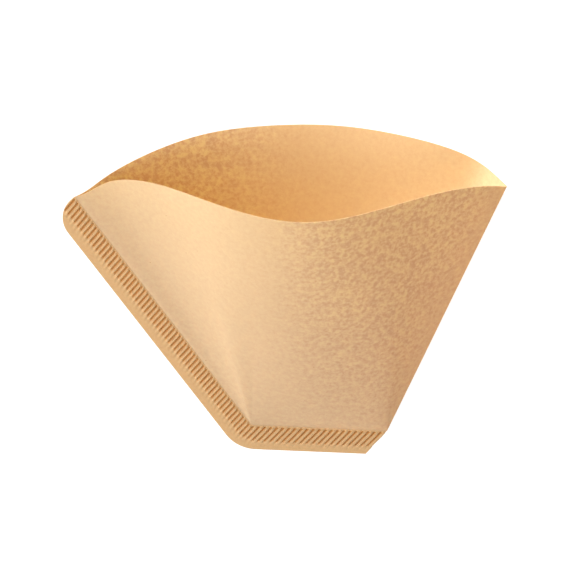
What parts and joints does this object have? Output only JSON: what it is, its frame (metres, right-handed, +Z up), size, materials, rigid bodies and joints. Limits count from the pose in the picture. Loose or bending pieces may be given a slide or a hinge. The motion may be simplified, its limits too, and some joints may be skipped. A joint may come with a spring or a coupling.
{
  "type": "paper coffee filter",
  "caption": "Cone-shaped coffee filter of unbleached paper, folded flat from one sheet with crimped side and base seams, opened at the mouth and lying on its back.",
  "frame": {"origin": "centre of the bounding box's bottom face, on the surface that the filter lies on", "axes": "+Z up, X across the filter with the crimped side seam towards +X and the fold towards -X, mouth towards -Y, base seam towards +Y"},
  "size_m": [0.1432, 0.1168, 0.0604],
  "materials": {
    "filter_paper": "matt unbleached filter paper, light tan, mottled where light comes through"
  },
  "bodies": {
    "root": {"folded_filter_paper": "filter_paper"}
  },
  "joints": []
}
